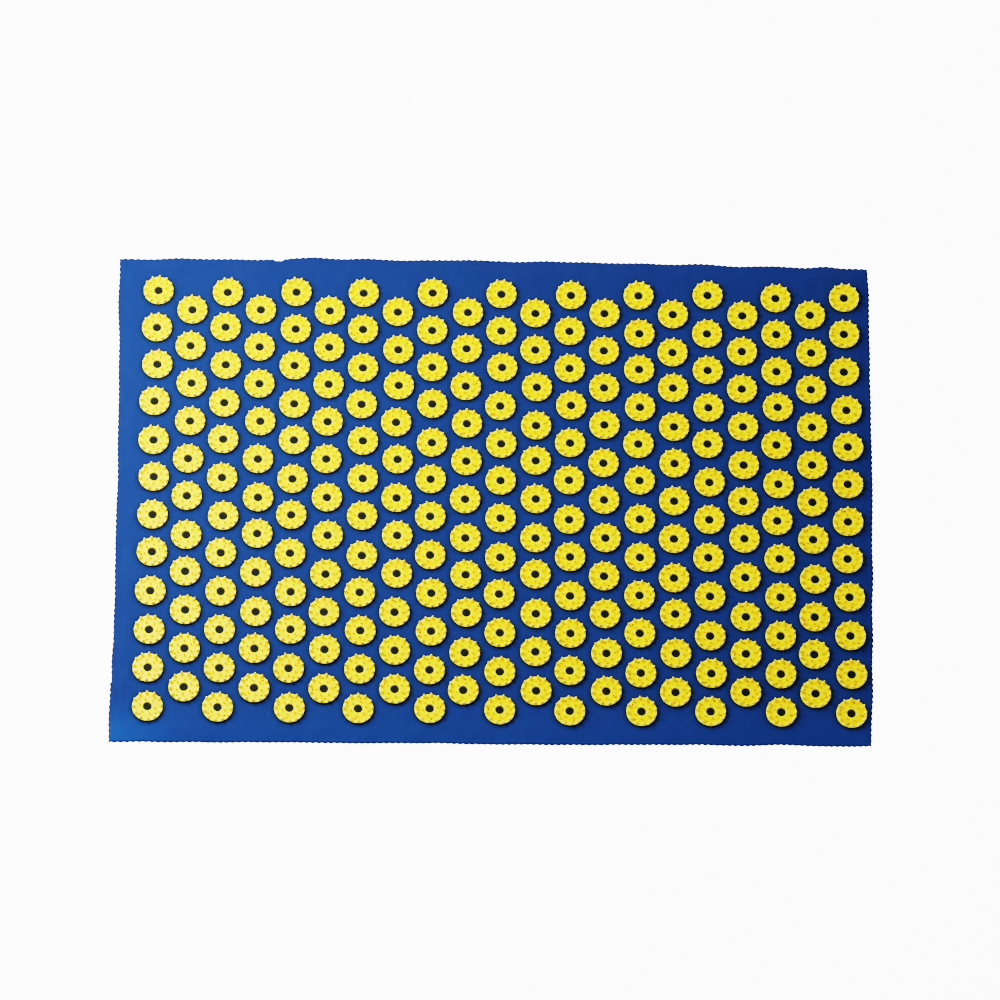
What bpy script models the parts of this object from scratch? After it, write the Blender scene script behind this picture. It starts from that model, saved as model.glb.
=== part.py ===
"""An acupressure mat: a blue cloth with pinked edges that carries 242 yellow spiked discs.

Each disc lies on the cloth, holds a dark round insert in its bore and is locked from below by a
ring whose four pins pass through the cloth into the disc. The discs stand in 21 columns, and every
second column is set half a step lower. At fifteen places the disc, its insert and its ring are
pieces of their own. The other discs are plain eight-sided plates, fused with the cloth that
carries them. Metres, +Z up, +X along the mat, origin at the middle of the underside.
"""

import math
import random

import bmesh
import bpy
from mathutils import Matrix

# Discs
DISC_DIAMETER = 0.0245
DISC_THICKNESS = 0.0018
DISC_SIDES = 16
FUSED_DISC_SIDES = 8

# Spikes on a disc. Those at the rim lean a little outwards
SPIKE_HEIGHT = 0.0048
SPIKE_BASE_RADIUS = 0.0009
SPIKE_SIDES = 3
RIM_SPIKES = 12
INNER_SPIKES = 6
RIM_SPIKE_LEAN = math.radians(8)
RIM_LEDGE = 0.0001

# Insert in the middle of a disc
INSERT_DIAMETER = 0.0054
INSERT_RECESS = 0.0002
INSERT_SIDES = 10

# Locking ring under the cloth
RING_THICKNESS = 0.0012
RING_WIDTH = 0.0042
RING_SIDES = 12
PINS = 4
PIN_RADIUS = 0.0005
PIN_SIDES = 4
PIN_RECESS = 0.0008
PIN_TO_SPIKE = 0.0003

# Cloth
CLOTH_THICKNESS = 0.0008
TOOTH_PITCH = 0.0095
TOOTH_DEPTH = 0.0012

# Layout of the discs on the cloth
COLUMNS = 21
DISCS_IN_LONG_COLUMN = 12
COLUMN_GAP = 0.0031
ROW_GAP = 0.0082
BORDER_LEFT = 0.01625
BORDER_RIGHT = 0.00725
BORDER_TOP = 0.01675
BORDER_BOTTOM = 0.01575

# Clearance between pieces that touch, and how far a cutter or a joined shape runs past a face
CLEARANCE = 0.0003
OVERRUN = 0.0004

# Places where the pieces stay separate: every fifth column, at its first, middle and last disc
SEPARATE_COLUMN_STEP = 5
SEPARATE_ROW_SHARES = (0, 0.5, 1)

# Discs are set by hand, so each is turned as it came
TURN_SEED = 7

# Worked out from the sizes above. Points closer than MERGE_DISTANCE are one point
MERGE_DISTANCE = CLEARANCE / 30
DISC_RADIUS = DISC_DIAMETER / 2
INSERT_RADIUS = INSERT_DIAMETER / 2
BORE_RADIUS = INSERT_RADIUS + CLEARANCE
PIN_HOLE_RADIUS = PIN_RADIUS + CLEARANCE
DISC_FLAT_RADIUS = DISC_RADIUS * math.cos(math.pi / DISC_SIDES)
RIM_SPIKE_CIRCLE = DISC_FLAT_RADIUS - RIM_LEDGE - SPIKE_BASE_RADIUS
PIN_CIRCLE = RIM_SPIKE_CIRCLE - SPIKE_BASE_RADIUS - PIN_TO_SPIKE - PIN_HOLE_RADIUS
INNER_SPIKE_CIRCLE = (BORE_RADIUS + PIN_CIRCLE) / 2
COLUMN_PITCH = DISC_DIAMETER + COLUMN_GAP
ROW_PITCH = DISC_DIAMETER + ROW_GAP
CLOTH_LENGTH = BORDER_LEFT + (COLUMNS - 1) * COLUMN_PITCH + DISC_DIAMETER + BORDER_RIGHT
CLOTH_WIDTH = BORDER_TOP + (DISCS_IN_LONG_COLUMN - 1) * ROW_PITCH + DISC_DIAMETER + BORDER_BOTTOM
CLOTH_BOTTOM = RING_THICKNESS + CLEARANCE
CLOTH_TOP = CLOTH_BOTTOM + CLOTH_THICKNESS
DISC_BOTTOM = CLOTH_TOP + CLEARANCE
DISC_TOP = DISC_BOTTOM + DISC_THICKNESS


def clear_scene():
    for obj in list(bpy.data.objects):
        bpy.data.objects.remove(obj, do_unlink=True)


def new_collection(name):
    collection = bpy.data.collections.new(name)
    bpy.context.scene.collection.children.link(collection)
    return collection


def new_material(name, colour, roughness, metallic=0.0):
    material = bpy.data.materials.new(name)
    material.use_nodes = True
    shader = material.node_tree.nodes["Principled BSDF"]
    shader.inputs["Base Color"].default_value = (*colour, 1)
    shader.inputs["Roughness"].default_value = roughness
    shader.inputs["Metallic"].default_value = metallic
    material.diffuse_color = (*colour, 1)
    return material


def new_object(name, mesh, collection, material=None):
    obj = bpy.data.objects.new(name, mesh)
    collection.objects.link(obj)
    if material:
        mesh.materials.clear()
        mesh.materials.append(material)
    return obj


def new_helper(name, mesh, material=None):
    """An object that only cuts or joins another."""
    helper = new_object(name, mesh, helpers, material)
    helper.hide_render = True
    helper.display_type = "WIRE"
    return helper


def evaluated_mesh(obj, name):
    """The mesh that an object's modifiers give."""
    graph = bpy.context.evaluated_depsgraph_get()
    mesh = bpy.data.meshes.new_from_object(obj.evaluated_get(graph))
    mesh.name = name
    return mesh


def prisms(name, places, sides, radius, bottom, top, tip_radius=None, lean=0.0):
    """One mesh of prisms or cones. A place is (x, y, angle), and a lean is towards that angle."""
    shape = bmesh.new()
    depth = (top - bottom) / math.cos(lean)
    for x, y, angle in places:
        foot = Matrix.Translation((x, y, bottom)) @ Matrix.Rotation(angle, 4, "Z")
        bmesh.ops.create_cone(
            shape,
            cap_ends=True,
            segments=sides,
            radius1=radius,
            radius2=radius if tip_radius is None else tip_radius,
            depth=depth,
            matrix=foot @ Matrix.Rotation(lean, 4, "Y") @ Matrix.Translation((0, 0, depth / 2)),
        )
    mesh = bpy.data.meshes.new(name)
    shape.to_mesh(mesh)
    shape.free()
    return mesh


def circle_places(count, radius, first_angle=0.0, centre=(0.0, 0.0)):
    """Places evenly round a circle, each turned to face outwards."""
    angles = [first_angle + math.tau * i / count for i in range(count)]
    return [
        (centre[0] + radius * math.cos(a), centre[1] + radius * math.sin(a), a) for a in angles
    ]


def turned(name, profile, sides):
    """A closed profile of (radius, height) points, revolved about Z."""
    mesh = bpy.data.meshes.new(name)
    points = [(radius, 0, height) for radius, height in profile]
    edges = [(i, (i + 1) % len(points)) for i in range(len(points))]
    mesh.from_pydata(points, edges, [])
    obj = new_helper(name, mesh)
    screw = obj.modifiers.new("Screw", "SCREW")
    screw.steps = sides
    screw.render_steps = sides
    screw.use_merge_vertices = True
    screw.merge_threshold = MERGE_DISTANCE
    return obj


def boolean(obj, other, operation):
    modifier = obj.modifiers.new(other.name, "BOOLEAN")
    modifier.object = other
    modifier.operation = operation
    modifier.solver = "EXACT"
    modifier.material_mode = "TRANSFER"


def ring_profile(outer, inner, bottom, top):
    """A flat ring's section, down its outer side first."""
    return [(outer, top), (outer, bottom), (inner, bottom), (inner, top)]


def pin_places(centre=(0.0, 0.0), angle=0.0):
    """The pins stand midway between two rim spikes."""
    return circle_places(PINS, PIN_CIRCLE, angle + math.pi / RIM_SPIKES, centre)


def disc_mesh():
    """A round plate with a bore, four pin holes, twelve spikes at its rim and six further in."""
    plate = turned(
        "disc_plate", ring_profile(DISC_RADIUS, BORE_RADIUS, DISC_BOTTOM, DISC_TOP), DISC_SIDES
    )
    spike_sets = (
        ("rim_spikes", circle_places(RIM_SPIKES, RIM_SPIKE_CIRCLE), RIM_SPIKE_LEAN),
        ("inner_spikes", circle_places(INNER_SPIKES, INNER_SPIKE_CIRCLE, math.pi / RIM_SPIKES), 0.0),
    )
    for name, places, lean in spike_sets:
        spikes = prisms(
            name,
            places,
            SPIKE_SIDES,
            SPIKE_BASE_RADIUS,
            DISC_TOP - OVERRUN,
            DISC_TOP + SPIKE_HEIGHT,
            tip_radius=0,
            lean=lean,
        )
        boolean(plate, new_helper(name, spikes), "UNION")
    holes = prisms(
        "disc_pin_holes",
        pin_places(),
        PIN_SIDES,
        PIN_HOLE_RADIUS,
        DISC_BOTTOM - OVERRUN,
        DISC_TOP + OVERRUN,
    )
    boolean(plate, new_helper("disc_pin_holes", holes), "DIFFERENCE")
    return evaluated_mesh(plate, "spike_disc")


def insert_mesh():
    """A short dark cylinder, a little lower than the disc's face."""
    return prisms(
        "magnet_insert",
        [(0, 0, 0)],
        INSERT_SIDES,
        INSERT_RADIUS,
        DISC_BOTTOM,
        DISC_TOP - INSERT_RECESS,
    )


def lock_ring_mesh():
    """A flat ring with four pins that reach up into the disc."""
    outer = PIN_CIRCLE + RING_WIDTH / 2
    inner = PIN_CIRCLE - RING_WIDTH / 2
    ring = turned("lock_ring_body", ring_profile(outer, inner, 0, RING_THICKNESS), RING_SIDES)
    pins = prisms(
        "lock_ring_pins",
        pin_places(),
        PIN_SIDES,
        PIN_RADIUS,
        RING_THICKNESS - OVERRUN,
        DISC_TOP - PIN_RECESS,
    )
    boolean(ring, new_helper("lock_ring_pins", pins), "UNION")
    return evaluated_mesh(ring, "lock_ring")


def discs_in_column(column):
    return DISCS_IN_LONG_COLUMN - column % 2


def place_of(column, row):
    """The centre of a disc. Column 0 is at -X, and row 0 at +Y."""
    x = -CLOTH_LENGTH / 2 + BORDER_LEFT + DISC_RADIUS + column * COLUMN_PITCH
    y = CLOTH_WIDTH / 2 - BORDER_TOP - DISC_RADIUS - (row + column % 2 / 2) * ROW_PITCH
    return x, y


def stays_separate(column, row):
    last = discs_in_column(column) - 1
    rows = {round(share * last) for share in SEPARATE_ROW_SHARES}
    return column % SEPARATE_COLUMN_STEP == 0 and row in rows


def disc_places():
    """Every disc as (column, row, x, y, turn)."""
    turns = random.Random(TURN_SEED)
    return [
        (column, row, *place_of(column, row), turns.uniform(0, math.tau))
        for column in range(COLUMNS)
        for row in range(discs_in_column(column))
    ]


def toothed_side(start, end):
    """Points from one corner towards the next, in and out by a tooth's depth."""
    length = math.dist(start, end)
    along = ((end[0] - start[0]) / length, (end[1] - start[1]) / length)
    inward = (-along[1], along[0])
    teeth = round(length / TOOTH_PITCH)
    points = []
    for i in range(2 * teeth):
        done = length * i / (2 * teeth)
        depth = TOOTH_DEPTH * (i % 2)
        x = start[0] + along[0] * done + inward[0] * depth
        y = start[1] + along[1] * done + inward[1] * depth
        points.append((x, y))
    return points


def cloth_mesh():
    """A flat sheet with pinked edges."""
    x, y = CLOTH_LENGTH / 2, CLOTH_WIDTH / 2
    corners = [(-x, -y), (x, -y), (x, y), (-x, y)]
    outline = []
    for i, corner in enumerate(corners):
        outline += toothed_side(corner, corners[(i + 1) % len(corners)])
    curve = bpy.data.curves.new("cloth_outline", "CURVE")
    curve.dimensions = "2D"
    curve.fill_mode = "BOTH"
    curve.extrude = CLOTH_THICKNESS / 2
    spline = curve.splines.new("POLY")
    spline.points.add(len(outline) - 1)
    for point, (px, py) in zip(spline.points, outline):
        point.co = (px, py, 0, 1)
    spline.use_cyclic_u = True
    guide = new_helper("cloth_outline", curve)
    mesh = evaluated_mesh(guide, "mat_cloth")
    bpy.data.objects.remove(guide)
    shape = bmesh.new()
    shape.from_mesh(mesh)
    bmesh.ops.remove_doubles(shape, verts=shape.verts, dist=MERGE_DISTANCE)
    for side in (-1, 1):
        cap = [face for face in shape.faces if all(v.co.z * side > 0 for v in face.verts)]
        bmesh.ops.dissolve_faces(shape, faces=cap)
    bmesh.ops.translate(shape, verts=shape.verts, vec=(0, 0, (CLOTH_BOTTOM + CLOTH_TOP) / 2))
    shape.to_mesh(mesh)
    shape.free()
    return mesh


def make_cloth(places):
    """The cloth, with holes for the pins of the separate rings, and the fused discs on it."""
    cloth = new_object("mat_cloth", cloth_mesh(), parts, blue_cloth)
    fused = [
        (x, y, turn) for column, row, x, y, turn in places if not stays_separate(column, row)
    ]
    pins = []
    for column, row, x, y, turn in places:
        if stays_separate(column, row):
            pins += pin_places((x, y), turn)
    discs = prisms(
        "fused_discs",
        fused,
        FUSED_DISC_SIDES,
        DISC_RADIUS,
        (CLOTH_BOTTOM + CLOTH_TOP) / 2,
        DISC_TOP,
    )
    holes = prisms(
        "cloth_pin_holes",
        pins,
        PIN_SIDES,
        PIN_HOLE_RADIUS,
        CLOTH_BOTTOM - OVERRUN,
        CLOTH_TOP + OVERRUN,
    )
    boolean(cloth, new_helper("fused_discs", discs, yellow_plastic), "UNION")
    boolean(cloth, new_helper("cloth_pin_holes", holes), "DIFFERENCE")


def make_separate_sets(places):
    """A disc, its insert and its locking ring at each place that keeps its own pieces."""
    kinds = (
        ("spike_disc", disc_mesh(), yellow_plastic),
        ("magnet_insert", insert_mesh(), dark_ferrite),
        ("lock_ring", lock_ring_mesh(), yellow_plastic),
    )
    for column, row, x, y, turn in places:
        if not stays_separate(column, row):
            continue
        for kind, mesh, material in kinds:
            piece = new_object(f"{kind}_c{column:02d}_r{row:02d}", mesh, parts, material)
            piece.location = (x, y, 0)
            piece.rotation_euler = (0, 0, turn)


clear_scene()
parts = new_collection("acupressure_mat")
helpers = new_collection("helpers")
blue_cloth = new_material("blue_cloth", (0.018, 0.085, 0.36), 0.85)
yellow_plastic = new_material("yellow_plastic", (0.86, 0.74, 0.045), 0.4)
dark_ferrite = new_material("dark_ferrite", (0.018, 0.018, 0.016), 0.6)
all_places = disc_places()
make_cloth(all_places)
make_separate_sets(all_places)
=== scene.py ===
"""The looks of the acupressure mat: cloth, spiked discs, ferrite inserts and locking rings.

Metres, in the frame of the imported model, +Z up. Places and levels come from the model's nodes.
"""

import math
import random

import bmesh
import bpy
from mathutils import Matrix, Vector, kdtree, noise


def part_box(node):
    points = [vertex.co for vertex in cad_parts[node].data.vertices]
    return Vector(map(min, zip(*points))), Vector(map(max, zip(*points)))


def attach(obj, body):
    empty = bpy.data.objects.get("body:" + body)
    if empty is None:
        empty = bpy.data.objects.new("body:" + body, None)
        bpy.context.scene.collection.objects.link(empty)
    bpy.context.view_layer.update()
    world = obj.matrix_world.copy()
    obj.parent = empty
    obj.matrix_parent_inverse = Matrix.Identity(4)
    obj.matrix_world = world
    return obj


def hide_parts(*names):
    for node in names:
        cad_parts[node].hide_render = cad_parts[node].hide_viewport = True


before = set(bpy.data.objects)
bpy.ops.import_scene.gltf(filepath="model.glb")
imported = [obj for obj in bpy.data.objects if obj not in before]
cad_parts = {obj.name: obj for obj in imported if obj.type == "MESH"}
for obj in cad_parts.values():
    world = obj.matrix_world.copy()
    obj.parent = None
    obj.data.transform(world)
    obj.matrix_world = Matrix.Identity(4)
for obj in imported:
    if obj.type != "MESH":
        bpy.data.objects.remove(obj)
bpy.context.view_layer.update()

# Layout, as in the model
COLUMNS = 21
LONG_COLUMN = 12
TURN_SEED = 7
FIRST_DISC = "spike_disc_c00_r00"
LAST_DISC = "spike_disc_c20_r11"
FIRST_INSERT = "magnet_insert_c00_r00"
FIRST_RING = "lock_ring_c00_r00"

# How unevenly the discs were set by hand
PLACE_SPREAD = 0.00055
PLACE_LIMIT = 0.0011
TILT_LIMIT = math.radians(0.7)

# Corners that aren't rounded get a small bevel. A cutter runs past a face by OVERRUN
BEVEL = 0.00005
OVERRUN = 0.0004
MERGE_DISTANCE = 0.000001
SHARP_ANGLE = math.radians(35)

# Disc. Its flank is undercut, so the rounding of its rim starts at a negative angle, in degrees
DISC_RADIUS = 0.012
DISC_FOOT_RADIUS = 0.011
DISC_THICKNESS = 0.0018
DISC_SIDES = 48
RIM_FILLET = 0.0004
RIM_FILLET_START = -30
RIM_FILLET_STEPS = 6
BORE_RADIUS = 0.0032
MOUTH_RADIUS = 0.0038
MOUTH_DEPTH = 0.0007
COLLAR_RADIUS = 0.0048
COLLAR_HEIGHT = 0.00025

# Spikes, as many as in the model and a little more worn, those at the rim leaning outwards
RIM_SPIKES = 12
INNER_SPIKES = 6
RIM_SPIKE_CIRCLE = 0.01045
INNER_SPIKE_CIRCLE = 0.006
RIM_SPIKE_LEAN = math.radians(14)
RIM_SPIKE_FOOT = 0.0015
INNER_SPIKE_FOOT = 0.0008
SPIKE_SIDES = 8
SPIKE_WEAR = 0.0009
# Radius against height, as shares of the foot's radius and of the spike's height
SPIKE_SHARES = ((1.0, 0.0), (0.94, 0.05), (0.86, 0.18), (0.68, 0.5), (0.5, 0.8), (0.34, 0.95), (0.0, 1.0))
# Pins and inner spikes stand midway between two rim spikes
HALF_SPIKE_STEP = math.pi / RIM_SPIKES

# Locking ring and its pins
PINS = 4
PIN_CIRCLE = 0.009
PIN_RADIUS = 0.0005
PIN_SIDES = 10
PIN_HOLE_RADIUS = 0.0008
RING_WIDTH = 0.0042
RING_RADIUS = PIN_CIRCLE + RING_WIDTH / 2
RING_BORE_RADIUS = PIN_CIRCLE - RING_WIDTH / 2
RING_THICKNESS = 0.0012
RING_FILLET = 0.0003
RING_SIDES = 40

# Insert
INSERT_RADIUS = 0.0031
INSERT_CHAMFER = 0.00015
INSERT_DIP = 0.0006
INSERT_SIDES = 28

# Cloth. It is flat up to HELD_RADIUS from a disc's middle and loose from FREE_RADIUS on
CLOTH_THICKNESS = 0.0008
CLOTH_CELL = 0.0024
TOOTH_DEPTH = 0.0007
HELD_RADIUS = 0.0111
FREE_RADIUS = 0.016
FLOOR_GAP = 0.00005
PUCKER_HEIGHT = 0.0005
PUCKER_LENGTH = 0.022
FINE_PUCKER_LENGTH = 0.009
FINE_PUCKER_SHARE = 0.4
EDGE_DROOP = 0.0012
DROOP_WIDTH = 0.013
EDGE_WAVE = 0.0009
EDGE_WAVE_LENGTH = 0.03
EDGE_RIPPLE = 0.0011
EDGE_RIPPLE_LENGTH = 0.03
# How steeply the shift of an edge fades towards the mat's middle
EDGE_FADE_POWER = 6
# How far the middle of an edge stands out past the model's, how much further its right or upper
# end does, and how much further in both ends lie
EDGE_SHAPES = {
    "left": (0.0012, 0.0017, -0.0014),
    "right": (0.0009, 0.0021, 0.0023),
    "top": (0.0025, -0.0010, 0.0031),
    "bottom": (0.0000, -0.0014, 0.0000),
}
# Where the left edge steps outwards, towards the near corner
LEFT_STEP_Y = -0.161
LEFT_STEP_WIDTH = 0.004
LEFT_STEP = 0.0014
# A notch in the top edge left of the middle, a swell beside it and one near the right corner, each
# with its X, how far it stands out and half its width
TOP_EDGE_MARKS = ((-0.175, -0.0018, 0.007), (-0.146, 0.0016, 0.028), (0.266, 0.0016, 0.018))

# Every use of the smooth noise has a layer, so that no two show the same pattern
NOISE_LAYERS = {"right": 1, "left": 2, "top": 3, "bottom": 4, "pucker": 5, "fine pucker": 6, "wave": 8}
LAYER_STEP = 7.3

# Camera
CAMERA_AZIMUTH = math.radians(2.08)
CAMERA_ELEVATION = math.radians(66.60)
CAMERA_ROLL = math.radians(2.52)
CAMERA_DISTANCE = 5.237
CAMERA_TARGET = Vector((0.0040, 0.00065, 0.0))
CAMERA_REACH = 50
SENSOR_WIDTH = 36.0
LENS = 237.1

# Light: one soft lamp above the mat's left end, a pale sky and a glowing floor
KEY_PLACE = Vector((-0.5, 0.17, 0.66))
KEY_SIZE = 0.7
KEY_POWER = 14.5
KEY_TINT = (1.0, 0.98, 0.95)
SKY_COLOUR = (0.93, 0.96, 1.0, 1.0)
SKY_STRENGTHS = (0.12, 0.7)
FLOOR_GLOW = 3.5
FLOOR_HALF_SIZE = 8


def smoothstep(low, high, value):
    share = min(max((value - low) / (high - low), 0.0), 1.0)
    return share * share * (3 - 2 * share)


def ripple(x, y, wavelength, layer):
    """Smooth noise from -1 to 1."""
    return noise.noise(Vector((x / wavelength, y / wavelength, LAYER_STEP * NOISE_LAYERS[layer])))


def centre_of(node):
    low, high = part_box(node)
    return (low + high) / 2


def new_object(name, data):
    obj = bpy.data.objects.new(name, data)
    bpy.context.scene.collection.objects.link(obj)
    return obj


# Shapes


def mesh_of(shape, name):
    mesh = bpy.data.meshes.new(name)
    shape.to_mesh(mesh)
    shape.free()
    return mesh


def turned(profile, sides, closed):
    """A profile of (radius, height) points, revolved about Z. If closed, its last point joins its first."""
    shape = bmesh.new()
    points = [shape.verts.new((radius, 0, height)) for radius, height in profile]
    following = points[1:] + points[:1] if closed else points[1:]
    edges = [shape.edges.new(pair) for pair in zip(points, following)]
    bmesh.ops.spin(
        shape,
        geom=points + edges,
        cent=(0, 0, 0),
        axis=(0, 0, 1),
        angle=math.tau,
        steps=sides,
        use_merge=True,
    )
    bmesh.ops.remove_doubles(shape, verts=shape.verts, dist=MERGE_DISTANCE)
    bmesh.ops.recalc_face_normals(shape, faces=shape.faces)
    return mesh_of(shape, "turned")


def round_corner(centre, radius, first, last, steps=3):
    """Points on an arc, with angles in degrees."""
    angles = [math.radians(first + (last - first) * i / steps) for i in range(steps + 1)]
    return [(centre[0] + radius * math.cos(a), centre[1] + radius * math.sin(a)) for a in angles]


def circle_places(count, radius, first_angle=0.0):
    """Places spread evenly on a circle, each turned to face outwards."""
    angles = [first_angle + math.tau * i / count for i in range(count)]
    return [
        Matrix.Translation((radius * math.cos(a), radius * math.sin(a), 0)) @ Matrix.Rotation(a, 4, "Z")
        for a in angles
    ]


def copies(mesh, places, name, tones=None):
    """One mesh with a copy at each place, each keeping its own coordinates and a tone of its own."""
    shape = bmesh.new()
    tone = shape.verts.layers.float.new("tone")
    local = shape.verts.layers.float_vector.new("local")
    for i, place in enumerate(places):
        start = len(shape.verts)
        shape.from_mesh(mesh)
        shape.verts.ensure_lookup_table()
        added = shape.verts[start:]
        for vert in added:
            vert[local] = vert.co
            vert[tone] = tones[i] if tones else 0.0
        bmesh.ops.transform(shape, matrix=place, verts=added)
    return mesh_of(shape, name)


def combined(body, other, operation):
    """The mesh that a Boolean of two meshes gives."""
    objects = [new_object(mesh.name, mesh) for mesh in (body, other)]
    modifier = objects[0].modifiers.new("Boolean", "BOOLEAN")
    modifier.object = objects[1]
    modifier.operation = operation
    modifier.solver = "EXACT"
    graph = bpy.context.evaluated_depsgraph_get()
    result = bpy.data.meshes.new_from_object(objects[0].evaluated_get(graph))
    for obj in objects:
        bpy.data.objects.remove(obj)
    return result


def shaded(mesh):
    mesh.shade_smooth()
    mesh.set_sharp_from_angle(angle=SHARP_ANGLE)
    return mesh


def spike_mesh(foot, height):
    """A stout spike with a flared foot and a blunt tip. Its foot reaches below zero, into the plate."""
    sunk = -DISC_THICKNESS / 2
    profile = [(0, sunk), (foot, sunk)]
    profile += [(foot * radius_share, height * height_share) for radius_share, height_share in SPIKE_SHARES]
    return turned(profile, SPIKE_SIDES, closed=False)


def plate_mesh(bottom, top):
    """A disc's round plate: undercut rim, and a collar and a wide mouth at its bore."""
    flat_edge = DISC_RADIUS - RIM_FILLET
    collar_top = top + COLLAR_HEIGHT
    mouth_bottom = top - MOUTH_DEPTH
    profile = [(DISC_FOOT_RADIUS - BEVEL, bottom), (DISC_FOOT_RADIUS, bottom + BEVEL)]
    profile += round_corner(
        (flat_edge, top - RIM_FILLET), RIM_FILLET, RIM_FILLET_START, 90, steps=RIM_FILLET_STEPS
    )
    profile += [
        (flat_edge - BEVEL, top),
        (COLLAR_RADIUS + BEVEL, top),
        (COLLAR_RADIUS, top + BEVEL),
        (COLLAR_RADIUS - COLLAR_HEIGHT / 2, collar_top - BEVEL),
        (COLLAR_RADIUS - COLLAR_HEIGHT, collar_top),
        (MOUTH_RADIUS + BEVEL, collar_top),
        (MOUTH_RADIUS - BEVEL, collar_top - BEVEL),
        (BORE_RADIUS + BEVEL, mouth_bottom + BEVEL),
        (BORE_RADIUS, mouth_bottom - BEVEL),
        (BORE_RADIUS, bottom + BEVEL),
        (BORE_RADIUS + BEVEL, bottom),
    ]
    return turned(profile, DISC_SIDES, closed=True)


def pin_hole_mesh(bottom, top, tip):
    """A cutter for a pin's hole, with a small bevel where it meets the plate's top."""
    mouth = PIN_HOLE_RADIUS + 2 * BEVEL
    profile = [
        (0, bottom - OVERRUN),
        (PIN_HOLE_RADIUS, bottom - OVERRUN),
        (PIN_HOLE_RADIUS, top - BEVEL),
        (mouth, top + BEVEL),
        (mouth, tip),
        (0, tip),
    ]
    return turned(profile, PIN_SIDES, closed=False)


def disc_mesh():
    """A moulded disc: its plate, twelve leaning spikes at the rim, six further in and four holes."""
    low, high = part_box(FIRST_DISC)
    top = low.z + DISC_THICKNESS
    body = plate_mesh(low.z, top)
    spike_sets = (
        (circle_places(RIM_SPIKES, RIM_SPIKE_CIRCLE), RIM_SPIKE_FOOT, RIM_SPIKE_LEAN),
        (circle_places(INNER_SPIKES, INNER_SPIKE_CIRCLE, HALF_SPIKE_STEP), INNER_SPIKE_FOOT, 0.0),
    )
    for places, foot, lean in spike_sets:
        leaning = Matrix.Translation((0, 0, top)) @ Matrix.Rotation(lean, 4, "Y")
        spike = spike_mesh(foot, (high.z - top - SPIKE_WEAR) / math.cos(lean))
        spikes = copies(spike, [place @ leaning for place in places], "spikes")
        body = combined(body, spikes, "UNION")
    hole = pin_hole_mesh(low.z, top, high.z)
    holes = copies(hole, circle_places(PINS, PIN_CIRCLE, HALF_SPIKE_STEP), "holes")
    return shaded(combined(body, holes, "DIFFERENCE"))


def insert_mesh():
    """A short cylinder with chamfered edges, pressed a little deeper into the bore than in the model."""
    low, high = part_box(FIRST_INSERT)
    inner = INSERT_RADIUS - INSERT_CHAMFER
    top = high.z - INSERT_DIP
    profile = [
        (0, low.z),
        (inner, low.z),
        (INSERT_RADIUS, low.z + INSERT_CHAMFER),
        (INSERT_RADIUS, top - INSERT_CHAMFER),
        (inner, top),
        (0, top),
    ]
    return shaded(turned(profile, INSERT_SIDES, closed=False))


def ring_mesh():
    """A flat ring with soft edges and four pins with blunt tips."""
    low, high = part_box(FIRST_RING)
    top = low.z + RING_THICKNESS
    fillet_level = low.z + RING_FILLET
    profile = round_corner((RING_RADIUS - RING_FILLET, fillet_level), RING_FILLET, -90, 0)
    profile += [
        (RING_RADIUS, top - BEVEL),
        (RING_RADIUS - BEVEL, top),
        (RING_BORE_RADIUS + BEVEL, top),
        (RING_BORE_RADIUS, top - BEVEL),
    ]
    profile += round_corner((RING_BORE_RADIUS + RING_FILLET, fillet_level), RING_FILLET, 180, 270)
    ring = turned(profile, RING_SIDES, closed=True)
    sunk = top - RING_THICKNESS / 4
    pin_profile = [(0, sunk), (PIN_RADIUS, sunk)]
    pin_profile += round_corner((0, high.z - PIN_RADIUS), PIN_RADIUS, 0, 90)
    pin = turned(pin_profile, PIN_SIDES, closed=False)
    pins = copies(pin, circle_places(PINS, PIN_CIRCLE, HALF_SPIKE_STEP), "pins")
    return shaded(combined(ring, pins, "UNION"))


# Layout


def disc_places():
    """The place of each disc, as a matrix, in a list for each column, from the far edge to the near.

    A disc that is a node of its own stays where the model has it. The others are a little out of
    place and tilted, and lifted so that the locking ring stays above the floor.
    """
    turns = random.Random(TURN_SEED)
    hand = random.Random(TURN_SEED)
    first = centre_of(FIRST_DISC)
    last = centre_of(LAST_DISC)
    column_pitch = (last.x - first.x) / (COLUMNS - 1)
    row_pitch = (first.y - last.y) / (LONG_COLUMN - 1)
    columns = []
    for column in range(COLUMNS):
        places = []
        for row in range(LONG_COLUMN - column % 2):
            turn = turns.uniform(0, math.tau)
            offset = Vector((hand.gauss(0, PLACE_SPREAD), hand.gauss(0, PLACE_SPREAD), 0))
            if offset.length > PLACE_LIMIT:
                offset *= PLACE_LIMIT / offset.length
            tilt = hand.uniform(0, TILT_LIMIT)
            towards = hand.uniform(0, math.tau)
            if f"spike_disc_c{column:02d}_r{row:02d}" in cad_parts:
                offset = Vector((0, 0, 0))
                tilt = 0.0
            rows_down = row + column % 2 / 2
            centre = Vector((first.x + column * column_pitch, first.y - rows_down * row_pitch, 0))
            centre += offset
            centre.z = RING_RADIUS * math.sin(tilt)
            lean = Matrix.Rotation(tilt, 4, Vector((math.cos(towards), math.sin(towards), 0)))
            places.append(Matrix.Translation(centre) @ lean @ Matrix.Rotation(turn, 4, "Z"))
        columns.append(places)
    return columns


# Cloth


def edge_offset(side, along, x, y):
    """How far out an edge lies at a point, at a share from -1 to 1 of the way along it."""
    middle, slope, bow = EDGE_SHAPES[side]
    even = middle + slope * along - bow * along * along
    return even + EDGE_RIPPLE * ripple(x, y, EDGE_RIPPLE_LENGTH, side)


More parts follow.
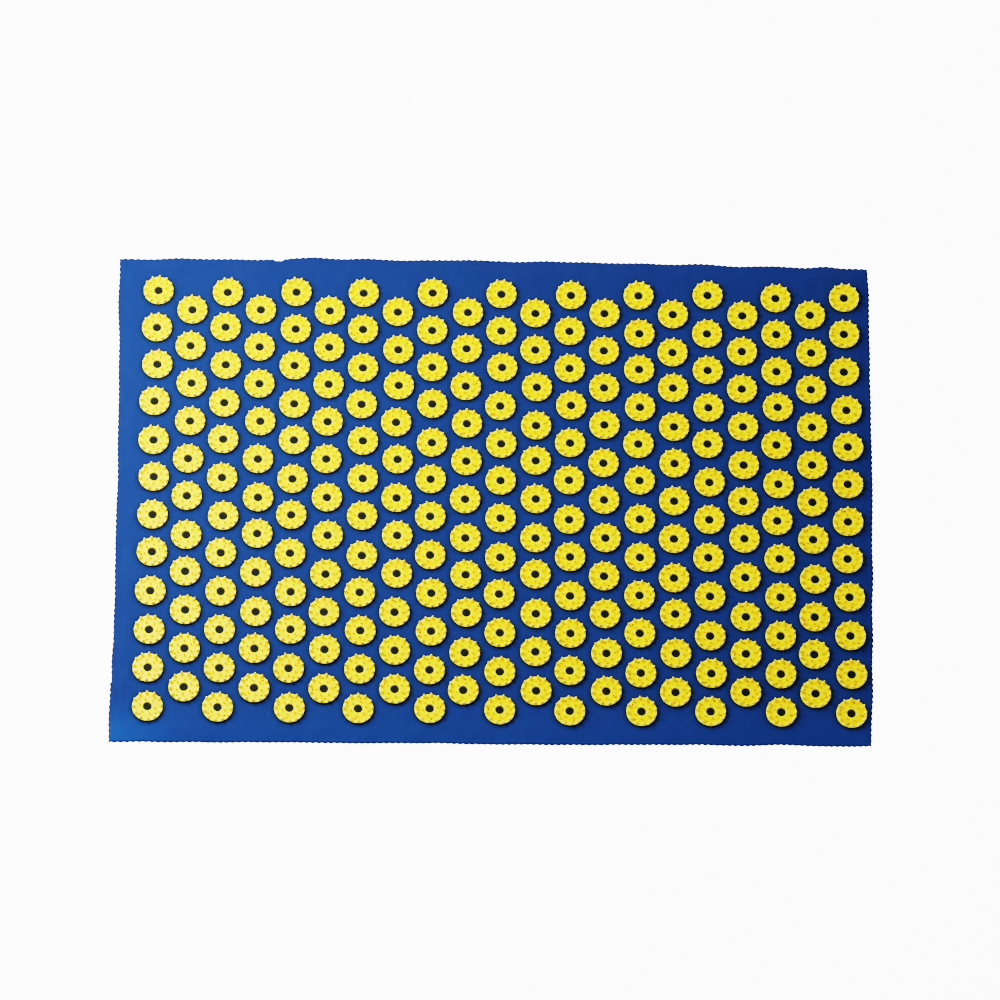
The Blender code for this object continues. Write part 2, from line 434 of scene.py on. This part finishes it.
def cloth_outline_place(x, y, half):
    """A point of the flat rectangle, moved with the edges of the real, slightly uneven cut."""
    across = x / half.x
    along = y / half.y
    right = edge_offset("right", along, half.x, y)
    left = edge_offset("left", along, -half.x, y)
    left += LEFT_STEP * (1 - smoothstep(LEFT_STEP_Y, LEFT_STEP_Y + LEFT_STEP_WIDTH, y))
    top = edge_offset("top", across, x, half.y)
    for mark, swell, half_width in TOP_EDGE_MARKS:
        top += swell * (1 - smoothstep(0, half_width, abs(x - mark)))
    bottom = edge_offset("bottom", across, x, -half.y)
    moved_x = x + abs(across) ** EDGE_FADE_POWER * (right if x > 0 else -left)
    moved_y = y + abs(along) ** EDGE_FADE_POWER * (top if y > 0 else -bottom)
    return moved_x, moved_y


def cloth_level(x, y, inside, place, distance, flat_level):
    """The height of the cloth's underside at a point.

    Place and distance are those of the nearest disc, and inside is how far it is to the edge.
    """
    free = smoothstep(HELD_RADIUS, FREE_RADIUS, distance)
    normal = place.to_3x3() @ Vector((0, 0, 1))
    away_x = x - place.translation.x
    away_y = y - place.translation.y
    held_level = flat_level + place.translation.z - (normal.x * away_x + normal.y * away_y) / normal.z
    coarse = ripple(x, y, PUCKER_LENGTH, "pucker")
    fine = ripple(x, y, FINE_PUCKER_LENGTH, "fine pucker")
    pucker = PUCKER_HEIGHT * (0.5 + 0.5 * coarse + FINE_PUCKER_SHARE * fine)
    outside = 1 - smoothstep(0, DROOP_WIDTH, inside)
    wave = EDGE_WAVE * outside * ripple(x, y, EDGE_WAVE_LENGTH, "wave")
    loose_level = flat_level + pucker + wave - EDGE_DROOP * outside
    level = held_level * (1 - free) + loose_level * free
    return max(level, FLOOR_GAP)


def disc_finder(places):
    """The discs' middles, in a form that quickly gives the nearest one."""
    tree = kdtree.KDTree(len(places))
    for i, place in enumerate(places):
        tree.insert((place.translation.x, place.translation.y, 0), i)
    tree.balance()
    return tree


def cloth_mesh(columns):
    """The cloth's underside: pinked edges, held flat at each disc, loose between, drooping outside."""
    low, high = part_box("mat_cloth")
    middle = (low + high) / 2
    half = (high - low) / 2
    cells_x = 2 * round(half.x / CLOTH_CELL)
    cells_y = 2 * round(half.y / CLOTH_CELL)
    places = [place for column in columns for place in column]
    tree = disc_finder(places)
    shape = bmesh.new()
    edge = shape.verts.layers.float.new("edge")
    from_disc = shape.verts.layers.float.new("from_disc")
    rows = []
    for j in range(cells_y + 1):
        row = []
        for i in range(cells_x + 1):
            x = middle.x + half.x * (2 * i / cells_x - 1)
            y = middle.y + half.y * (2 * j / cells_y - 1)
            inside = min(half.x - abs(x - middle.x), half.y - abs(y - middle.y))
            x, y = cloth_outline_place(x, y, half)
            on_side = i in (0, cells_x)
            on_end = j in (0, cells_y)
            if on_side and j % 2 and not on_end:
                x -= math.copysign(TOOTH_DEPTH, x)
            if on_end and i % 2 and not on_side:
                y -= math.copysign(TOOTH_DEPTH, y)
            _, nearest, distance = tree.find((x, y, 0))
            vert = shape.verts.new((x, y, cloth_level(x, y, inside, places[nearest], distance, low.z)))
            vert[edge] = 1.0 if on_side or on_end else 0.0
            vert[from_disc] = distance
            row.append(vert)
        rows.append(row)
    for lower, upper in zip(rows, rows[1:]):
        for i in range(cells_x):
            shape.faces.new((lower[i], lower[i + 1], upper[i + 1], upper[i]))
    return mesh_of(shape, "cloth_sheet")


# Materials. Colours are linear red, green, blue and opacity. A range says where a tint starts and
# ends, and a share how strongly it covers what is below it

# Nearly all values of a noise lie in this range
NOISE_RANGE = (0.3, 0.7)


class Surface:
    """A material with its Principled shader, and short calls that add nodes to it."""

    def __init__(self, name, **constants):
        self.material = bpy.data.materials.new(name)
        self.material.use_nodes = True
        self.tree = self.material.node_tree
        self.shader = self.tree.nodes["Principled BSDF"]
        for socket, value in constants.items():
            self.shader.inputs[socket.replace("_", " ")].default_value = value
        place = self.node("ShaderNodeTexCoord")
        self.coordinates = place.outputs["Object"]
        self.normal = place.outputs["Normal"]

    def node(self, kind, inputs=None, **settings):
        node = self.tree.nodes.new(kind)
        for name, value in settings.items():
            setattr(node, name, value)
        for socket, value in (inputs or {}).items():
            if isinstance(value, bpy.types.NodeSocket):
                self.tree.links.new(value, node.inputs[socket])
            else:
                node.inputs[socket].default_value = value
        return node

    def noise(self, size, detail=3.0, vector=None):
        """Noise from 0 to 1 with features of about the given size."""
        inputs = {"Vector": vector or self.coordinates, "Scale": 1 / size, "Detail": detail}
        return self.node("ShaderNodeTexNoise", inputs).outputs["Fac"]

    def math(self, operation, first, second=0.0):
        return self.node("ShaderNodeMath", {0: first, 1: second}, operation=operation).outputs[0]

    def mapped(self, value, source, target):
        """A value moved from one range to another and held within it."""
        inputs = {"Value": value, "From Min": source[0], "From Max": source[1]}
        inputs.update({"To Min": target[0], "To Max": target[1]})
        return self.node("ShaderNodeMapRange", inputs).outputs["Result"]

    def uneven(self, size, target):
        """A value that varies over a range in patches of about the given size."""
        return self.mapped(self.noise(size), NOISE_RANGE, target)

    def mix(self, factor, first, second):
        """A blend of two colours."""
        inputs = {0: factor, 6: first, 7: second}
        return self.node("ShaderNodeMix", inputs, data_type="RGBA").outputs[2]

    def painted(self, base, tints):
        """A colour with each tint laid over it in turn, given as (factor, colour)."""
        for factor, tint in tints:
            base = self.mix(factor, base, tint)
        return base

    def attribute(self, name, output="Fac"):
        return self.node("ShaderNodeAttribute", attribute_name=name).outputs[output]

    def bump(self, height, distance, normal=None):
        inputs = {"Height": height, "Distance": distance, "Strength": 1.0}
        if normal:
            inputs["Normal"] = normal
        return self.node("ShaderNodeBump", inputs).outputs["Normal"]

    def connect(self, **sockets):
        for socket, value in sockets.items():
            self.tree.links.new(value, self.shader.inputs[socket.replace("_", " ")])
        return self.material


# Plain weave. A thread's crown is lower at its ends than in its middle, and the pattern is read in
# the middle of its cells
THREAD_PITCH = 0.00055
THREAD_RELIEF = 0.00012
CROWN_SHARES = (0.55, 1)
CELL_MIDDLE = 0.5


def thread_roundness(cloth, thread):
    """From 0 between two threads to 1 in the middle of each."""
    wave = cloth.math("SINE", cloth.math("MULTIPLY", thread, math.pi))
    return cloth.math("ABSOLUTE", wave)


def weave_height(cloth, place):
    """The height of a plain weave from 0 to 1, with warp and weft passing over by turns."""
    warp = cloth.math("MULTIPLY", place.outputs["X"], 1 / THREAD_PITCH)
    weft = cloth.math("MULTIPLY", place.outputs["Y"], 1 / THREAD_PITCH)
    cell = cloth.node("ShaderNodeCombineXYZ", {0: warp, 1: weft, 2: CELL_MIDDLE}).outputs[0]
    over = cloth.node("ShaderNodeTexChecker", {"Vector": cell, "Scale": 1.0}).outputs["Fac"]
    warp_round = thread_roundness(cloth, warp)
    weft_round = thread_roundness(cloth, weft)
    weft_crown = cloth.math("MULTIPLY", weft_round, cloth.mapped(warp_round, (0, 1), CROWN_SHARES))
    warp_crown = cloth.math("MULTIPLY", warp_round, cloth.mapped(weft_round, (0, 1), CROWN_SHARES))
    return cloth.node("ShaderNodeMix", {0: over, 2: weft_crown, 3: warp_crown}).outputs[0]


# Cloth. The ranges of the painted shade are distances from the middle of the nearest disc
DYES = ((0.0102, 0.038, 0.132, 1.0), (0.0140, 0.047, 0.160, 1.0))
DYE_PATCH_SIZE = 0.05
SLUB_COLOUR = (0.016, 0.055, 0.186, 1.0)
SLUB_SIZE = 0.0012
SLUB_STRETCH = (1, 0.06, 1)
SLUB_RANGE = (0.35, 0.7)
SLUB_SHARE = 0.25
# Painted shade: the cloth is painted darker in the gaps between its threads, where the weave is low
GAP_SHADE_COLOUR = (0.005, 0.014, 0.055, 1.0)
GAP_SHADE_RANGE = (0.0, 0.6)
GAP_SHADE_SHARE = 0.35
# Painted sheen: the cloth is painted paler along the near edge, most of all towards its left corner
PAINTED_SHEEN_COLOUR = (0.014, 0.085, 0.30, 1.0)
PAINTED_SHEEN_Y = (-0.205, -0.17)
PAINTED_SHEEN_X = (-0.30, -0.24)
PAINTED_SHEEN_SHARES = (0.6, 0.15)
# Painted shade: the cloth's upper side is painted darker at each disc's rim and faintly round it
DISC_SHADE_COLOUR = (0.006, 0.021, 0.017, 1.0)
DISC_SHADE_RANGE = (1.04 * DISC_RADIUS, 1.16 * DISC_RADIUS)
DISC_SHADE_SHARE = 0.9
HALO_SHADE_RANGE = (DISC_RADIUS, 1.35 * DISC_RADIUS)
HALO_SHADE_SHARE = 0.55
UPPER_SIDE_RANGE = (0.0, 0.3)
# Painted shade: the cloth is painted darker along its cut edge
EDGE_SHADE_COLOUR = (0.004, 0.010, 0.040, 1.0)
EDGE_SHADE_SHARE = 0.35
CLOTH_ROUGHNESS = (0.78, 0.92)
CLOTH_ROUGHNESS_SIZE = 0.008
CREASE_SIZE = 0.016
CREASE_RELIEF = 0.0006


def disc_shade_factor(cloth):
    """How strongly painted shade darkens the cloth's upper side: strongly at each disc's rim, faintly round
    it.
    """
    from_disc = cloth.attribute("from_disc")
    rim_shade = cloth.mapped(from_disc, DISC_SHADE_RANGE, (DISC_SHADE_SHARE, 0))
    halo_shade = cloth.mapped(from_disc, HALO_SHADE_RANGE, (HALO_SHADE_SHARE, 0))
    facing = cloth.node("ShaderNodeSeparateXYZ", {0: cloth.normal})
    upper_side = cloth.mapped(facing.outputs["Z"], UPPER_SIDE_RANGE, (0, 1))
    return cloth.math("MULTIPLY", cloth.math("MAXIMUM", rim_shade, halo_shade), upper_side)


def cloth_material():
    """Blue cotton in plain weave, with uneven dye, and painted shade round each disc and between its
    threads.

    A painted sheen makes it paler along the near edge, most of all at its left corner, and painted shade
    darkens its cut edge.
    """
    cloth = Surface("blue_cloth", Sheen_Weight=0.04, Sheen_Roughness=0.5, Specular_IOR_Level=0.12)
    place = cloth.node("ShaderNodeSeparateXYZ", {0: cloth.coordinates})
    weave = weave_height(cloth, place)
    stretched = cloth.node("ShaderNodeMapping", {"Vector": cloth.coordinates, "Scale": SLUB_STRETCH})
    slubs = cloth.noise(SLUB_SIZE, detail=2.0, vector=stretched.outputs[0])
    near_edge = cloth.mapped(place.outputs["Y"], PAINTED_SHEEN_Y, (1, 0))
    near_corner = cloth.mapped(place.outputs["X"], PAINTED_SHEEN_X, PAINTED_SHEEN_SHARES)
    tints = (
        (cloth.mapped(slubs, SLUB_RANGE, (0, SLUB_SHARE)), SLUB_COLOUR),
        (cloth.mapped(weave, GAP_SHADE_RANGE, (GAP_SHADE_SHARE, 0)), GAP_SHADE_COLOUR),
        (cloth.math("MULTIPLY", near_edge, near_corner), PAINTED_SHEEN_COLOUR),
        (disc_shade_factor(cloth), DISC_SHADE_COLOUR),
        (cloth.mapped(cloth.attribute("edge"), (0, 1), (0, EDGE_SHADE_SHARE)), EDGE_SHADE_COLOUR),
    )
    dye = cloth.mix(cloth.noise(DYE_PATCH_SIZE, detail=4.0), *DYES)
    creases = cloth.bump(cloth.noise(CREASE_SIZE), CREASE_RELIEF)
    return cloth.connect(
        Base_Color=cloth.painted(dye, tints),
        Roughness=cloth.uneven(CLOTH_ROUGHNESS_SIZE, CLOTH_ROUGHNESS),
        Normal=cloth.bump(weave, THREAD_RELIEF, creases),
    )


# Plastic. A range is a distance from the disc's axis, save that of the mottle
BATCHES = ((0.90, 0.55, 0.003, 1.0), (0.89, 0.60, 0.006, 1.0))
MOTTLE_COLOUR = (0.89, 0.42, 0.003, 1.0)
MOTTLE_SIZE = 0.004
MOTTLE_RANGE = (0.42, 0.70)
MOTTLE_SHARE = 0.75
# Painted highlight: the disc's face is painted paler towards its rim
RIM_HIGHLIGHT_COLOUR = (0.91, 0.73, 0.075, 1.0)
RIM_HIGHLIGHT_RANGE = (0.72 * DISC_RADIUS, 0.92 * DISC_RADIUS)
RIM_HIGHLIGHT_SHARE = 0.85
# Painted highlight: the face is painted paler round the collar
COLLAR_HIGHLIGHT_COLOUR = (0.89, 0.72, 0.05, 1.0)
COLLAR_HIGHLIGHT_RANGE = (COLLAR_RADIUS, 1.6 * COLLAR_RADIUS)
COLLAR_HIGHLIGHT_SHARE = 0.8
# Painted shade: the bore's sloping mouth is painted darker
BORE_SHADE_COLOUR = (0.16, 0.14, 0.006, 1.0)
BORE_SHADE_RANGE = (BORE_RADIUS, MOUTH_RADIUS + COLLAR_HEIGHT)
BORE_SHADE_SHARE = 0.85
# Painted highlight: the spikes are painted paler towards their tips
TIP_HIGHLIGHT_COLOUR = (0.93, 0.79, 0.20, 1.0)
TIP_HIGHLIGHT_SHARE = 0.8
PLASTIC_ROUGHNESS = (0.28, 0.46)
PLASTIC_ROUGHNESS_SIZE = 0.003
SKIN_SIZE = 0.0009
SKIN_RELIEF = 0.00003


def plastic_material():
    """Yellow moulded plastic in slightly different batches.

    It has painted highlights at the rim, the collar and the tips, and painted shade in the bore's mouth.
    """
    low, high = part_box(FIRST_DISC)
    plastic = Surface(
        "yellow_plastic", Subsurface_Weight=0.05, Subsurface_Scale=0.001, IOR=1.5, Specular_IOR_Level=0.3
    )
    local = plastic.node("ShaderNodeSeparateXYZ", {0: plastic.attribute("local", "Vector")})
    across = plastic.node("ShaderNodeCombineXYZ", {0: local.outputs["X"], 1: local.outputs["Y"]})
    length = plastic.node("ShaderNodeVectorMath", {0: across.outputs[0]}, operation="LENGTH")
    radius = length.outputs["Value"]
    spike_range = (low.z + DISC_THICKNESS, high.z)
    tints = (
        (plastic.mapped(plastic.noise(MOTTLE_SIZE), MOTTLE_RANGE, (0, MOTTLE_SHARE)), MOTTLE_COLOUR),
        (plastic.mapped(radius, RIM_HIGHLIGHT_RANGE, (0, RIM_HIGHLIGHT_SHARE)), RIM_HIGHLIGHT_COLOUR),
        (plastic.mapped(radius, COLLAR_HIGHLIGHT_RANGE, (COLLAR_HIGHLIGHT_SHARE, 0)), COLLAR_HIGHLIGHT_COLOUR),
        (plastic.mapped(radius, BORE_SHADE_RANGE, (BORE_SHADE_SHARE, 0)), BORE_SHADE_COLOUR),
        (plastic.mapped(local.outputs["Z"], spike_range, (0, TIP_HIGHLIGHT_SHARE)), TIP_HIGHLIGHT_COLOUR),
    )
    batch = plastic.mix(plastic.attribute("tone"), *BATCHES)
    return plastic.connect(
        Base_Color=plastic.painted(batch, tints),
        Roughness=plastic.uneven(PLASTIC_ROUGHNESS_SIZE, PLASTIC_ROUGHNESS),
        Normal=plastic.bump(plastic.noise(SKIN_SIZE), SKIN_RELIEF),
    )


# Ferrite
FERRITES = ((0.006, 0.008, 0.005, 1.0), (0.014, 0.017, 0.010, 1.0))
GRAIN_SIZE = 0.0004
GRAIN_RELIEF = 0.00006
FLECK_COLOUR = (0.05, 0.05, 0.035, 1.0)
FLECK_SIZE = 0.00022
FLECK_RANGE = (0.68, 0.74)
FLECK_SHARE = 0.6
FERRITE_ROUGHNESS = (0.6, 0.8)
FERRITE_ROUGHNESS_SIZE = 0.0012


def ferrite_material():
    """Sintered ferrite: near black, dull and finely grained, with a few paler grains."""
    ferrite = Surface("dark_ferrite", Specular_IOR_Level=0.12)
    grain = ferrite.noise(GRAIN_SIZE, detail=4.0)
    flecks = ferrite.mapped(ferrite.noise(FLECK_SIZE, detail=1.0), FLECK_RANGE, (0, FLECK_SHARE))
    return ferrite.connect(
        Base_Color=ferrite.mix(flecks, ferrite.mix(grain, *FERRITES), FLECK_COLOUR),
        Roughness=ferrite.uneven(FERRITE_ROUGHNESS_SIZE, FERRITE_ROUGHNESS),
        Normal=ferrite.bump(grain, GRAIN_RELIEF),
    )


# Floor
PAPERS = ((0.90, 0.90, 0.90, 1.0), (0.93, 0.93, 0.93, 1.0))
PAPER_PATCH_SIZE = 0.3
PAPER_GRAIN_SIZE = 0.002
PAPER_RELIEF = 0.00003


def floor_material():
    """Pale paper that glows."""
    floor = Surface("pale_floor", Roughness=0.7, Emission_Strength=FLOOR_GLOW)
    paper = floor.mix(floor.noise(PAPER_PATCH_SIZE), *PAPERS)
    grain = floor.bump(floor.noise(PAPER_GRAIN_SIZE, detail=2.0), PAPER_RELIEF)
    return floor.connect(Base_Color=paper, Emission_Color=paper, Normal=grain)


# Pieces


def add_piece(name, mesh, nodes):
    piece = new_object(name, mesh)
    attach(piece, "root")
    if nodes:
        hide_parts(*nodes)
    return piece


def make_cloth(columns, material):
    """The whole sheet, thickened upwards from its underside."""
    mesh = cloth_mesh(columns)
    mesh.materials.append(material)
    cloth = add_piece("cloth_sheet", mesh, ["mat_cloth"])
    solidify = cloth.modifiers.new("Thickness", "SOLIDIFY")
    solidify.thickness = CLOTH_THICKNESS
    solidify.offset = 1
    mesh.shade_smooth()


def make_columns(columns, plastic, ferrite):
    """In each column, one piece holds the discs, one the inserts and one the locking rings."""
    kinds = (
        ("spike_discs", "spike_disc", disc_mesh(), "disc_plastic", plastic),
        ("magnet_inserts", "magnet_insert", insert_mesh(), "insert", ferrite),
        ("lock_rings", "lock_ring", ring_mesh(), "ring_plastic", plastic),
    )
    batches = random.Random(TURN_SEED)
    for column, places in enumerate(columns):
        tones = [batches.random() for place in places]
        for plural, kind, shape, slot, material in kinds:
            mesh = copies(shape, places, plural, tones)
            mesh.materials.append(material)
            prefix = f"{kind}_c{column:02d}"
            nodes = sorted(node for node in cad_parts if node.startswith(prefix))
            add_piece(f"{plural}_c{column:02d}", mesh, nodes)


# Stage


def add_floor():
    shape = bmesh.new()
    bmesh.ops.create_grid(shape, x_segments=1, y_segments=1, size=FLOOR_HALF_SIZE)
    mesh = mesh_of(shape, "floor")
    mesh.materials.append(floor_material())
    floor = new_object("floor", mesh)


def add_key_light():
    """A round, soft lamp that faces the middle of the mat."""
    light = bpy.data.lights.new("key_light", "AREA")
    light.shape = "DISK"
    light.size = KEY_SIZE
    light.energy = KEY_POWER
    light.color = KEY_TINT
    lamp = new_object("key_light", light)
    lamp.location = KEY_PLACE
    lamp.rotation_euler = (-KEY_PLACE).to_track_quat("-Z", "Y").to_euler()


def add_sky():
    """A pale sky, dim at the horizon and brighter overhead."""
    world = bpy.data.worlds.new("studio")
    bpy.context.scene.world = world
    world.use_nodes = True
    nodes = world.node_tree.nodes
    links = world.node_tree.links
    background = nodes["Background"]
    background.inputs["Color"].default_value = SKY_COLOUR
    direction = nodes.new("ShaderNodeTexCoord").outputs["Generated"]
    split = nodes.new("ShaderNodeSeparateXYZ")
    brightness = nodes.new("ShaderNodeMapRange")
    brightness.inputs["To Min"].default_value = SKY_STRENGTHS[0]
    brightness.inputs["To Max"].default_value = SKY_STRENGTHS[1]
    links.new(direction, split.inputs[0])
    links.new(split.outputs["Z"], brightness.inputs["Value"])
    links.new(brightness.outputs["Result"], background.inputs["Strength"])


def set_view():
    view = bpy.context.scene.view_settings
    view.view_transform = "Filmic"
    view.look = "Very High Contrast"


def add_camera():
    """The photo's view: from above the near edge, slightly turned and rolled."""
    turn = Matrix.Rotation(-CAMERA_AZIMUTH, 4, "Z")
    turn @= Matrix.Rotation(math.pi / 2 - CAMERA_ELEVATION, 4, "X")
    turn @= Matrix.Rotation(CAMERA_ROLL, 4, "Z")
    back = turn.to_3x3() @ Vector((0, 0, 1))
    data = bpy.data.cameras.new("camera")
    data.sensor_width = SENSOR_WIDTH
    data.lens = LENS
    data.clip_end = CAMERA_REACH
    camera = new_object("camera", data)
    camera.matrix_world = Matrix.Translation(CAMERA_TARGET + back * CAMERA_DISTANCE) @ turn
    bpy.context.scene.camera = camera


add_camera()
add_key_light()
add_sky()
set_view()
add_floor()
all_columns = disc_places()
make_cloth(all_columns, cloth_material())
make_columns(all_columns, plastic_material(), ferrite_material())
